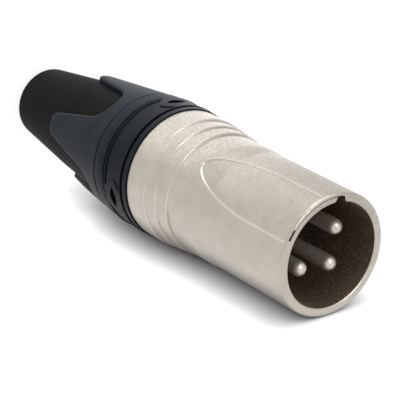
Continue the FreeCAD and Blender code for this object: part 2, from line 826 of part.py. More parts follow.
os.makedirs("parts", exist_ok=True)
for node in nodes:
    node.Shape.exportStep(f"parts/{node.Label}.step")
    print(f"{node.Label}: {len(node.Shape.Solids)} solid, {node.Shape.Volume:.1f} mm3")
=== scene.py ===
import bpy
import bmesh
import math
from mathutils import Matrix, Vector


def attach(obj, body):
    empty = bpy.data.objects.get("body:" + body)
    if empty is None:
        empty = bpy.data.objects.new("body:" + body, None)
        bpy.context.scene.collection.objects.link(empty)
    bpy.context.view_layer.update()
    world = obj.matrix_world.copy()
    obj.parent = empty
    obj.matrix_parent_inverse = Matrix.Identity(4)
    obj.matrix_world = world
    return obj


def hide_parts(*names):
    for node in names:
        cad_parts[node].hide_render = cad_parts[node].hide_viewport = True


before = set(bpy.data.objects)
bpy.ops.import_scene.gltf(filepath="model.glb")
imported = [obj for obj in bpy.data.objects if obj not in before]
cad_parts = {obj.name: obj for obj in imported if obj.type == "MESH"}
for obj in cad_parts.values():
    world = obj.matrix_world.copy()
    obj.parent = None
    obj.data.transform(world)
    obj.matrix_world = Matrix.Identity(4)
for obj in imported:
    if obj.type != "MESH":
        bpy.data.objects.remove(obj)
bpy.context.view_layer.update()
scene = bpy.context.scene
mm = 0.001

# sizes that the materials, the housing and the lamps share, in millimetres
plug = {
    "mouthZ": 75.4999,
    "mouthRadius": 8.1,
    "middleZ": 45.0,
}

# camera and table as the plug was photographed, lying on its side
view = {
    "place": (0.055955, -0.180646, 0.247977),
    "right": (-0.64517, 0.47524, 0.59825),
    "up": (-0.7388, -0.58766, -0.3299),
    "lens": 162.0,
    "sensor": 36.0,
    "near": 0.01,
    "far": 10.0,
    "tableNormal": (-0.6136, -0.7888, -0.0351),
    "tableDepth": 0.01213,
}


class Wires:
    # short way to add and join the nodes of a tree
    def __init__(self, tree):
        self.tree = tree

    def add(self, kind, **settings):
        node = self.tree.nodes.new(kind)
        for key, value in settings.items():
            setattr(node, key, value)
        return node

    def join(self, source, target):
        self.tree.links.new(source, target)

    def math(self, operation, *values):
        node = self.add("ShaderNodeMath", operation=operation)
        for socket, value in zip(node.inputs, values):
            self.fill(socket, value)
        return node.outputs[0]

    def fill(self, socket, value):
        if isinstance(value, bpy.types.NodeSocket):
            self.join(value, socket)
        else:
            socket.default_value = value

    def ramp(self, factor, low, high, start=0.0, end=1.0, soft=False):
        node = self.add("ShaderNodeMapRange", clamp=True)
        if soft:
            node.interpolation_type = "SMOOTHSTEP"
        sockets = ("Value", "From Min", "From Max", "To Min", "To Max")
        for socket, value in zip(sockets, (factor, low, high, start, end)):
            self.fill(node.inputs[socket], value)
        return node.outputs["Result"]


class Finish(Wires):
    # a material's nodes
    def __init__(self, name):
        self.material = bpy.data.materials.new(name)
        self.material.use_nodes = True
        Wires.__init__(self, self.material.node_tree)
        self.shader = self.tree.nodes["Principled BSDF"]
        self.place = self.add("ShaderNodeTexCoord").outputs["Object"]

    def noise(self, size, detail=3.0, rough=0.5):
        # size is that of one lump, in millimetres
        node = self.add("ShaderNodeTexNoise")
        self.join(self.place, node.inputs["Vector"])
        node.inputs["Scale"].default_value = 1 / (size * mm)
        node.inputs["Detail"].default_value = detail
        node.inputs["Roughness"].default_value = rough
        return node.outputs["Fac"]

    def mix(self, factor, first, second):
        node = self.add("ShaderNodeMix", data_type="RGBA")
        self.fill(node.inputs[0], factor)
        self.fill(node.inputs[6], first)
        self.fill(node.inputs[7], second)
        return node.outputs[2]

    def bump(self, height, depth, under):
        # depth of the relief in millimetres
        node = self.add("ShaderNodeBump")
        node.inputs["Distance"].default_value = depth * mm
        node.inputs["Strength"].default_value = 1.0
        self.join(height, node.inputs["Height"])
        self.join(under, node.inputs["Normal"])
        return node.outputs["Normal"]

    def roundEdge(self, radius):
        node = self.add("ShaderNodeBevel", samples=6)
        node.inputs["Radius"].default_value = radius * mm
        return node.outputs["Normal"]

    def cylinderPlace(self):
        # distance from the axis, angle round it, and height, in millimetres and degrees
        split = self.add("ShaderNodeSeparateXYZ")
        self.join(self.place, split.inputs[0])
        x, y, z = split.outputs
        squares = self.math("ADD", self.math("MULTIPLY", x, x), self.math("MULTIPLY", y, y))
        radius = self.math("SQRT", squares)
        angle = self.math("MULTIPLY", self.math("ARCTAN2", y, x), 180 / math.pi)
        return self.math("DIVIDE", radius, mm), angle, self.math("DIVIDE", z, mm)


def rgb(red, green, blue):
    return (red, green, blue, 1.0)


# colours, roughness and grain of the plated casting, lengths in millimetres
nickel = {
    "clean": rgb(0.515, 0.474, 0.417),
    "dull": rgb(0.475, 0.430, 0.370),
    "grain": rgb(0.30, 0.275, 0.24),
    "edge": rgb(0.80, 0.76, 0.69),  # painted glint: a lighter line round the tongue and along the grip steps
    "glintMix": 0.35,
    "rough": 0.29,
    "grainSize": 0.26,
    "grainDepth": 0.018,
    "grainMix": 0.80,
    "grainAngle": -140.0,  # side of the plug with the strongest grain
    "cloudSize": 2.4,
    "edgeRound": 0.10,
    # painted shade for the inside of the mouth: a darker, browner colour and its lighter grain
    "mouthDark": rgb(0.26, 0.20, 0.145),
    "mouthGrain": rgb(0.62, 0.52, 0.41),
    "mouthGrainSize": 0.30,
    "mouthDepth": (0.06, 0.30),  # below the rim, where the painted shade inside begins and is full
}


def makeNickel():
    look = nickel
    n = Finish("satin nickel")
    radius, angle, height = n.cylinderPlace()
    # cast grain, stronger on the scooped side and on the tongue
    fine = n.noise(look["grainSize"], 2.0, 0.6)
    broad = n.noise(look["cloudSize"], 3.0, 0.55)
    fromSide = n.math("MULTIPLY", n.math("SUBTRACT", angle, look["grainAngle"]), math.pi / 180)
    side = n.ramp(n.math("COSINE", fromSide), 0.25, 0.8)
    grain = n.math("MULTIPLY", n.ramp(fine, 0.35, 0.68), n.math("ADD", n.math("MULTIPLY", side, 0.85), 0.15))
    base = n.mix(n.ramp(broad, 0.35, 0.7), look["clean"], look["dull"])
    speckled = n.mix(n.math("MULTIPLY", grain, look["grainMix"]), base, look["grain"])
    # painted glint: the edge glint attribute lightens the colour along the tongue's outline and the grip
    # steps' edges
    edge = n.add("ShaderNodeAttribute", attribute_name="edge glint").outputs["Fac"]
    speckled = n.mix(n.math("MULTIPLY", edge, look["glintMix"]), speckled, look["edge"])
    # duller inside of the mouth, with painted shade: a darker, browner colour below the rim
    begins, full = look["mouthDepth"]
    inside = n.math("MULTIPLY", n.ramp(radius, plug["mouthRadius"] + 0.26, plug["mouthRadius"] + 0.12),
                    n.ramp(height, plug["mouthZ"] - begins, plug["mouthZ"] - full))
    mouthGrain = n.ramp(n.noise(look["mouthGrainSize"], 2.0, 0.6), 0.50, 0.74)
    mouth = n.mix(mouthGrain, look["mouthDark"], look["mouthGrain"])
    n.join(n.mix(inside, speckled, mouth), n.shader.inputs["Base Color"])
    n.shader.inputs["Metallic"].default_value = 1.0
    rough = n.math("ADD", n.math("MULTIPLY", grain, 0.12), look["rough"])
    n.join(n.math("ADD", rough, n.math("MULTIPLY", inside, 0.22)), n.shader.inputs["Roughness"])
    n.join(n.bump(fine, look["grainDepth"], n.roundEdge(look["edgeRound"])), n.shader.inputs["Normal"])
    return n.material


# colour, roughness, size and depth of the grain, rounding of edges, gloss; lengths in millimetres
plastics = {
    "contact carrier": {"colour": (0.026, 0.017, 0.009), "rough": 0.50, "grain": 0.14, "depth": 0.010,
                        "edge": 0.06, "gloss": 0.25},
    "cable clamp": {"colour": (0.020, 0.020, 0.021), "rough": 0.42, "grain": 0.16, "depth": 0.008,
                    "edge": 0.08, "gloss": 0.50},
    "slate gland": {"colour": (0.015, 0.020, 0.026), "rough": 0.42, "grain": 0.10, "depth": 0.010,
                    "edge": 0.22, "gloss": 0.10},
    "slate ring": {"colour": (0.008, 0.011, 0.016), "rough": 0.40, "grain": 0.10, "depth": 0.008,
                   "edge": 0.10, "gloss": 0.10},
    "boot rubber": {"colour": (0.0060, 0.0060, 0.0060), "rough": 0.60, "grain": 0.16, "depth": 0.012,
                    "edge": 0.05, "gloss": 0.055},
}


def makePlastic(name):
    # matt moulding with a fine spark-eroded surface, its colour drifting by a quarter either way
    look = plastics[name]
    n = Finish(name)
    n.shader.inputs["Specular IOR Level"].default_value = look["gloss"]
    broad = n.noise(3.5, 3.0, 0.5)
    dark = rgb(*(c * 0.75 for c in look["colour"]))
    light = rgb(*(c * 1.25 for c in look["colour"]))
    n.join(n.mix(n.ramp(broad, 0.3, 0.7), dark, light), n.shader.inputs["Base Color"])
    fine = n.noise(look["grain"], 2.0, 0.55)
    n.join(n.ramp(fine, 0.3, 0.7, look["rough"] - 0.05, look["rough"] + 0.07), n.shader.inputs["Roughness"])
    n.join(n.bump(fine, look["depth"], n.roundEdge(look["edge"])), n.shader.inputs["Normal"])
    return n


# painted shade in the ring's grooves: near-black and duller below the top radius
ringGrooveShade = {
    "top": 10.62,
    "bottom": 10.30,
    "colour": rgb(0.002, 0.002, 0.003),
    "rough": 0.85,
}


def makeRingPlastic():
    # slate band, with painted shade down in its grooves: darker and duller there
    n = makePlastic("slate ring")
    radius = n.cylinderPlace()[0]
    paint = n.shader.inputs["Base Color"].links[0].from_socket
    top, bottom = ringGrooveShade["top"], ringGrooveShade["bottom"]
    n.join(n.mix(n.ramp(radius, top, bottom), paint, ringGrooveShade["colour"]), n.shader.inputs["Base Color"])
    n.join(n.ramp(radius, top, bottom, plastics["slate ring"]["rough"], ringGrooveShade["rough"]),
           n.shader.inputs["Roughness"])
    return n.material


contactMetals = {
    "silvered contact": {"colour": (0.66, 0.61, 0.54), "rough": 0.34, "metal": 0.72},
    "spring brass": {"colour": (0.80, 0.58, 0.28), "rough": 0.28, "metal": 1.0},
}


def makeContactMetal(name):
    # turned or pressed metal with a slight tarnish
    look = contactMetals[name]
    n = Finish(name)
    broad = n.noise(0.9, 3.0, 0.6)
    tarnished = rgb(*(c * 0.82 for c in look["colour"]))
    n.join(n.mix(n.ramp(broad, 0.35, 0.75), rgb(*look["colour"]), tarnished), n.shader.inputs["Base Color"])
    n.shader.inputs["Metallic"].default_value = look["metal"]
    n.join(n.ramp(n.noise(0.12, 2.0), 0.3, 0.7, look["rough"] - 0.04, look["rough"] + 0.05),
           n.shader.inputs["Roughness"])
    n.join(n.roundEdge(0.05), n.shader.inputs["Normal"])
    return n.material


materials = {
    "shell": makeNickel(),
    "contact": makeContactMetal("silvered contact"),
    "spring": makeContactMetal("spring brass"),
    "insert": makePlastic("contact carrier").material,
    "chuck": makePlastic("cable clamp").material,
    "gland": makePlastic("slate gland").material,
    "ring": makeRingPlastic(),
    "boot": makePlastic("boot rubber").material,
}
print("materials made")


# each smaller CAD node with its piece name, body, finish and the angle above which an edge stays sharp
dressing = {
    "contact_insert": ("contact-carrier", "plug_body", "insert", 25),
    "pin_1": ("contact-1", "plug_body", "contact", 25),
    "pin_2": ("contact-2", "plug_body", "contact", 25),
    "pin_3": ("contact-3", "plug_body", "contact", 25),
    "ground_contact": ("earth-spring", "plug_body", "spring", 25),
    "chuck": ("cable-clamp", "plug_body", "chuck", 25),
    "boot": ("cable-boot", "gland_and_boot", "boot", 25),
    "coding_ring": ("marking-ring", "ring", "ring", 20),
}


def baked(source):
    # plain mesh of an object with its modifiers worked out
    bpy.context.view_layer.update()
    graph = bpy.context.evaluated_depsgraph_get()
    final = source.evaluated_get(graph)
    return bpy.data.meshes.new_from_object(final, preserve_all_data_layers=True, depsgraph=graph)


def shadeTurned(mesh, sharp):
    # normals are turned about the piece's axis to each corner before they are averaged: a cone shades evenly
    middleX = (min(v.co.x for v in mesh.vertices) + max(v.co.x for v in mesh.vertices)) / 2
    middleY = (min(v.co.y for v in mesh.vertices) + max(v.co.y for v in mesh.vertices)) / 2
    around = [[] for v in mesh.vertices]
    own = []
    for face in mesh.polygons:
        facing = face.normal.copy()
        out = Vector((face.center.x - middleX, face.center.y - middleY))
        sideways = abs(facing.x * out.y - facing.y * out.x) / max(out.length, 1e-9)
        for index in face.loop_indices:
            corner = mesh.loops[index].vertex_index
            place = mesh.vertices[corner].co
            turned = facing
            to = Vector((place.x - middleX, place.y - middleY))
            if sideways < 0.25 and to.length > 0.1 * mm:
                turn = math.atan2(out.x * to.y - out.y * to.x, out.dot(to))
                turned = Matrix.Rotation(turn, 3, "Z") @ facing
            own.append((corner, turned))
            around[corner].append((turned, face.area))
    limit = math.cos(math.radians(sharp))
    normals = []
    for corner, turned in own:
        total = Vector((0, 0, 0))
        for other, area in around[corner]:
            if other.dot(turned) > limit:
                total += other * area
        normals.append(total.normalized() if total.length > 0 else turned)
    mesh.normals_split_custom_set(normals)


def dressNode(node):
    # joined and smoothly shaded copy of a node, standing where the node does
    name, body, finish, sharp = dressing[node]
    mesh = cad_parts[node].data.copy()
    work = bmesh.new()
    work.from_mesh(mesh)
    bmesh.ops.remove_doubles(work, verts=work.verts, dist=0.0004 * mm)
    for face in work.faces:
        face.smooth = True
    work.to_mesh(mesh)
    work.free()
    mesh.name = name
    shadeTurned(mesh, sharp)
    mesh.materials.clear()
    mesh.materials.append(materials[finish])
    piece = bpy.data.objects.new(name, mesh)
    scene.collection.objects.link(piece)
    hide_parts(node)
    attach(piece, body)


for node in dressing:
    dressNode(node)
print("pieces dressed:", len(dressing))


# gland, a turned bushing with four fingers round the boot
gland = {
    "columns": 720,
    "tipZ": 14.4,
    "coneTopZ": 30.5,
    "collarTopZ": 32.9,
    "noseTopZ": 45.8,
    "tipRadius": 8.9,
    "coneRadius": 10.5,
    "collarRadius": 10.6,
    "noseRadius": 9.2,
    "noseBore": 7.7,
    "spigotRadius": 6.4,
    "spigotBore": 5.3,
    "spigotZ": 17.0,
    "webZ": 27.05,
    "taperZ": 28.5,
    "taperEndZ": 36.5,
    "bootTip": 7.93,
    "bootTop": 9.29,
    "groove": 0.15,
    "fingers": 4,
    "fingerAngle": -55.5,
    "gapDepth": 12.9,
    "gapSlope": 9.0,
    "tipFlat": 0.306,
    "tipRound": 1.2,
    "edgeRound": 0.42,
    "threadPitch": 1.5,
    "threadDepth": 0.45,
    "threadZ": (33.6, 45.2),
    "threadRunOut": 0.8,
    "threadRows": 10,  # for each turn
    "skinTop": 1.1,  # rows of the fingers start this far above the gaps, and below the fine groove
    "skinRows": (0, 0.12, 0.24, 0.36, 0.48, 0.58, 0.67, 0.75, 0.80, 0.84, 0.88, 0.91, 0.935, 0.955, 0.968,
                 0.976, 0.983, 0.989, 0.994, 0.998, 1),  # shares of the way down a finger
}


class FingerGap:
    # outline of the gap between two fingers: an arch, sloping sides and rounded corners
    def __init__(self, g):
        self.slope = math.radians(g["gapSlope"])
        self.tip = g["tipRound"]
        self.tipZ = g["tipZ"]
        lean = math.tan(self.slope)
        edge = g["tipRadius"] * math.sin(math.pi / g["fingers"])
        spare = edge - g["tipFlat"] - self.tip / math.cos(self.slope) - lean * (g["gapDepth"] - self.tip)
        self.arch = spare / (math.cos(self.slope) - lean * (1 - math.sin(self.slope)))
        self.archZ = self.tipZ + g["gapDepth"] - self.arch
        self.bendX = self.arch * math.cos(self.slope)
        self.bendZ = self.archZ + self.arch * math.sin(self.slope)
        self.cornerX = self.bendX + lean * (self.bendZ - self.tipZ - self.tip)
        self.cornerX += self.tip / math.cos(self.slope)
        self.lean = lean

    def edgeZ(self, x):
        # height of the outline at a distance from the gap's middle
        if x <= self.bendX:
            return self.archZ + math.sqrt(self.arch ** 2 - x ** 2)
        if x <= self.cornerX - self.tip * math.cos(self.slope):
            return self.bendZ - (x - self.bendX) / self.lean
        return self.tipZ + self.tip - math.sqrt(self.tip ** 2 - max(self.cornerX - x, 0) ** 2)

    def distance(self, x, z):
        # how far a point of a finger lies from the outline
        if (z - self.archZ) * math.cos(self.slope) >= x * math.sin(self.slope):
            side = math.hypot(x, z - self.archZ) - self.arch
        else:
            side = (x - self.bendX) * math.cos(self.slope) + (z - self.bendZ) * math.sin(self.slope)
        left, down = self.cornerX - x, self.tipZ + self.tip - z
        if left >= 0 and down * math.cos(self.slope) >= left * math.sin(self.slope):
            return self.tip - math.hypot(left, down)
        return min(side, z - self.tipZ)


def glandMesh():
    g = gland
    gap = FingerGap(g)
    groove = g["groove"]
    coneEnd = g["coneTopZ"] - groove
    fingerTop = gap.archZ + gap.arch + g["skinTop"]

    def coneAt(z):
        return g["tipRadius"] + (g["coneRadius"] - g["tipRadius"]) * (z - g["tipZ"]) / (coneEnd - g["tipZ"])

    def liningAt(z):
        return g["bootTip"] + (g["bootTop"] - g["bootTip"]) * (z - g["tipZ"]) / (g["webZ"] - g["tipZ"])

    # rows round the closed section: fixed points, and those of the fingers by their share of the way down
    rows = [("fixed", coneAt(z), z) for z in (coneEnd - 0.10, coneEnd - 0.5, coneEnd - g["skinTop"])]
    rows += [("skin", 0, share) for share in g["skinRows"]]
    rows += [("wall", 0, 0.5), ("lining", 0, 1), ("lining", 0, 0.5), ("lining", 0, 0)]
    rows += [("web", g["spigotRadius"], 0)]
    spigotZ, taperZ = g["spigotZ"], g["taperZ"]
    rows += [("fixed", r, z) for r, z in (
        (g["spigotRadius"], spigotZ), (g["spigotBore"], spigotZ), (g["spigotBore"], taperZ),
        (g["noseBore"], g["taperEndZ"]), (g["noseBore"], g["noseTopZ"]),
        (g["noseRadius"] - 0.3, g["noseTopZ"]), (g["noseRadius"], g["noseTopZ"] - 0.3))]
    low, high = g["threadZ"]
    count = int((high - low) / g["threadPitch"] * g["threadRows"])
    rows += [("thread", g["noseRadius"], high - (high - low) * i / count) for i in range(count + 1)]
    # collar with rounded edges, and the fine groove between it and the cone
    top, wide, step = g["collarTopZ"], g["collarRadius"], g["coneTopZ"]
    rows += [("fixed", r, z) for r, z in (
        (g["noseRadius"], top), (wide - 0.14, top), (wide - 0.06, top - 0.03), (wide - 0.015, top - 0.09),
        (wide, top - 0.18), (wide, (top + step) / 2), (wide, step + 0.45), (wide - 0.02, step + 0.33),
        (wide - 0.08, step + 0.22), (wide - 0.2, step + 0.12), (g["coneRadius"] - groove, step + 0.03),
        (g["coneRadius"] - groove, step - 0.03), (g["coneRadius"] - 0.05, coneEnd + 0.03))]
    pitch = 360 / g["fingers"]
    points = []
    edges = []
    for column in range(g["columns"]):
        angle = 360 * column / g["columns"] - 180
        fromFinger = (angle - g["fingerAngle"] + pitch / 2) % pitch - pitch / 2
        across = math.sin(math.radians(pitch / 2 - abs(fromFinger)))
        edge = gap.tipZ
        for tryAgain in range(12):
            edge = (edge + gap.edgeZ(coneAt(edge) * across)) / 2
        edges.append((angle, across, edge))
    for kind, radius, height in rows:
        for angle, across, edge in edges:
            r, z = radius, height
            if kind == "skin" or kind == "wall":
                z = fingerTop + (edge - fingerTop) * (height if kind == "skin" else 1)
                r = coneAt(z)
                near = g["edgeRound"] - gap.distance(r * across, z)
                if near > 0:
                    r -= g["edgeRound"] - math.sqrt(max(g["edgeRound"] ** 2 - near ** 2, 0))
                if kind == "wall":
                    r += (liningAt(z) - r) * height
            elif kind == "lining":
                z = max(g["webZ"], edge) + (edge - max(g["webZ"], edge)) * height
                r = liningAt(z)
            elif kind == "web":
                z = max(g["webZ"], edge)
            elif kind == "thread":
                turn = (z / g["threadPitch"] - angle / 360) % 1
                ends = min((z - low) / g["threadRunOut"], (high - z) / g["threadRunOut"], 1)
                r -= g["threadDepth"] * ends * min(max(abs(turn - 0.5) * 2.6 - 0.15, 0), 1)
            turned = math.radians(angle)
            points.append((r * mm * math.cos(turned), r * mm * math.sin(turned), z * mm))
    return turnedMesh("gland-bushing", points, len(rows), g["columns"])


def turnedMesh(name, points, rows, columns):
    # closed ring of four-sided faces, its rows one after another
    faces = []
    for row in range(rows):
        for column in range(columns):
            nextRow, nextColumn = (row + 1) % rows, (column + 1) % columns
            faces.append((row * columns + column, nextRow * columns + column,
                          nextRow * columns + nextColumn, row * columns + nextColumn))
    mesh = bpy.data.meshes.new(name)
    mesh.from_pydata(points, [], faces)
    return mesh


def finishMesh(mesh, node, body, finish, sharp):
    # faces outwards and smooth, edges above the angle sharp, then it takes the node's place
    work = bmesh.new()
    work.from_mesh(mesh)
    bmesh.ops.remove_doubles(work, verts=work.verts, dist=0.0008 * mm)
    bmesh.ops.recalc_face_normals(work, faces=work.faces)
    if work.calc_volume(signed=True) < 0:
        bmesh.ops.reverse_faces(work, faces=work.faces)
    for face in work.faces:
        face.smooth = True
    print(mesh.name, "triangles:", sum(len(face.verts) - 2 for face in work.faces), "volume mm3:",
          round(work.calc_volume(signed=True) / mm ** 3, 1), "open edges:",
          sum(1 for edge in work.edges if not edge.is_manifold))
    work.to_mesh(mesh)
    work.free()
    mesh.set_sharp_from_angle(angle=math.radians(sharp))
    if not mesh.materials:
        mesh.materials.append(materials[finish])
    piece = bpy.data.objects.new(mesh.name, mesh)
    scene.collection.objects.link(piece)
    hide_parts(node)
    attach(piece, body)


finishMesh(glandMesh(), "gland", "gland_and_boot", "gland", 35)


# housing, one cast tube whose radius follows a rule round and along it
housing = {
    "columns": 600,
    "housingZ": 39.5,  # rear edge
    "sleeveRadius": 9.5,
    "sleeveEndZ": 57.5,
    "rimRound": 0.5,
    "rimChamfer": 0.15,
    "rearRadius": 10.55,
    "flareEndZ": 43.5,
    "mouthFloorZ": 62.0,
    "boreRadius": 8.6,
    "threadRadius": 9.25,
    "threadTopZ": 46.0,
    "gripAngle": -157.5,
    # height, least radius and half angle of each step
    "steps": ((43.9, 10.25, 76.0), (46.5, 9.98, 81.0), (49.1, 9.66, 86.0)),
    "stepSoft": 0.10,
    "stepGlint": (0.12, 0.09),  # painted glint below and above a step's edge
    "tongueAngle": -90.0,
    "tongueHalfWidth": 4.2,
    "tongueBendZ": 67.5,
    "tongueReach": 14.6,
    "tongueDepth": 0.1,
    "tongueTopZ": 74.9,
    "lipWidth": 0.28,
    "lipRise": 0.3,
    "edgeSoft": 0.13,
    "keyAngle": -135.0,
    "keyDepth": 0.93,
    "keyBase": 1.1,
    "keyTop": 0.55,
    "latch": (67.4, 71.0, 0.6, 14.0),  # low and high end, depth, half angle
    "slot": (-76.5, -66.5, 0.55),  # start and end angle, depth
    "seam": (-136.5, -71.5, 0.28),
    "slotRadii": (8.96, 9.08, 9.30),  # inside of both, outside of the seam and of the slot
    "stepRows": (-0.05, 0.12, 0.3, 0.5, 0.7, 0.88, 1.05),  # shares of a step's softness
}


def housingProfile():
    # half section as (radius, height, kind) points: up the outside, over the rim and down inside
    h = housing
    top = plug["mouthZ"]
    sleeve = h["sleeveRadius"]
    points = [(h["rearRadius"], h["housingZ"], "outside")]

    def radiusAt(z):
        if z <= h["flareEndZ"]:
            return h["rearRadius"]
        rise = (z - h["flareEndZ"]) / (h["sleeveEndZ"] - h["flareEndZ"])
        return h["rearRadius"] + (sleeve - h["rearRadius"]) * min(rise, 1)

    heights = [40.5, 42.0, h["flareEndZ"] - 0.01]
    glintBelow, glintAbove = h["stepGlint"]
    for z, radius, reach in h["steps"]:
        heights += [z - glintBelow] + [z + h["stepSoft"] * part for part in h["stepRows"]] + [z + 0.8, z + 1.6]
    heights += [51.6, 52.2]
    heights += [52.5 + 0.12 * i for i in range(66)]  # close rows where the tongue is round
    heights += [60.6 + 0.6 * i for i in range(23)]
    heights += [74.2, 74.6, 74.82, 74.86, 74.92, 74.96]
    points += [(radiusAt(z), z, "outside") for z in heights]
    middle = sleeve - h["rimRound"]

    def roundAt(radius):
        out = max(radius - middle, 0)
        return top - h["rimRound"] + math.sqrt(max(h["rimRound"] ** 2 - out ** 2, 0))

    inner, seamEnd, slotEnd = h["slotRadii"]
    for part in (0, 15, 30, 43):
        r = middle + h["rimRound"] * math.cos(math.radians(part))
        points.append((r, roundAt(r), "rim"))
    wall = 0.005  # upright walls of slot and seam lean by this much
    slotMiddle = (seamEnd + slotEnd) / 2
    points.append((slotEnd, roundAt(slotEnd), "rim"))
    points.append((slotEnd - wall, roundAt(slotEnd), "slot"))
    points.append((slotMiddle, roundAt(slotMiddle), "slot"))
    points.append((seamEnd, roundAt(seamEnd), "slot"))
    points.append((seamEnd - wall, roundAt(seamEnd), "both"))
    points.append((inner + wall, top, "both"))
    points.append((inner, top, "rim"))
    mouth = plug["mouthRadius"]
    points += [(8.75, top, "rim"), (8.5, top, "rim"), (mouth + h["rimChamfer"], top, "rim")]
    low, high = h["latch"][:2]
    points.append((mouth, top - h["rimChamfer"], "rim"))
    points += [(mouth, z, "rim") for z in (74.0, 72.5, high + 0.01)]
    points += [(mouth, z, "latch") for z in (high - 0.01, 69.2, low + 0.01)]
    points += [(mouth, z, "rim") for z in (low - 0.01, 65.5, 63.5, h["mouthFloorZ"])]
    points += [(h["boreRadius"], z, "bore") for z in (h["mouthFloorZ"], 57.5, 52.0, h["threadTopZ"])]
    points += [(h["threadRadius"], z, "bore") for z in (h["threadTopZ"], h["housingZ"])]
    return points


class Form(Wires):
    # a geometry node tree with named inputs
    def __init__(self, name):
        Wires.__init__(self, bpy.data.node_groups.new(name, "GeometryNodeTree"))
        self.tree.interface.new_socket("Geometry", in_out="OUTPUT", socket_type="NodeSocketGeometry")
        self.tree.interface.new_socket("Geometry", in_out="INPUT", socket_type="NodeSocketGeometry")
        self.source = self.add("NodeGroupInput")
        self.values = {}

    def input(self, name, value, kind="Float"):
        socket = self.tree.interface.new_socket(name, in_out="INPUT", socket_type="NodeSocket" + kind)
        self.values[socket.identifier] = value
        return self.source.outputs[name]

    def attribute(self, geometry, name, index):
        # a number stored on the points of another geometry, read at an index
        named = self.add("GeometryNodeInputNamedAttribute", data_type="FLOAT")
        named.inputs["Name"].default_value = name
        sample = self.add("GeometryNodeSampleIndex", data_type="FLOAT", domain="POINT")
        self.join(geometry, sample.inputs["Geometry"])
        self.join(named.outputs["Attribute"], sample.inputs["Value"])
        self.join(index, sample.inputs["Index"])
        return sample.outputs["Value"]

    def finish(self, geometry, material):
        real = self.add("GeometryNodeRealizeInstances")
        paint = self.add("GeometryNodeSetMaterial")
        paint.inputs["Material"].default_value = material
        output = self.add("NodeGroupOutput")
        self.join(geometry, real.inputs["Geometry"])
        self.join(real.outputs["Geometry"], paint.inputs["Geometry"])
        self.join(paint.outputs["Geometry"], output.inputs["Geometry"])

    def attach(self, source):
        modifier = source.modifiers.new(self.tree.name, "NODES")
        modifier.node_group = self.tree
        for identifier, value in self.values.items():
            modifier[identifier] = value


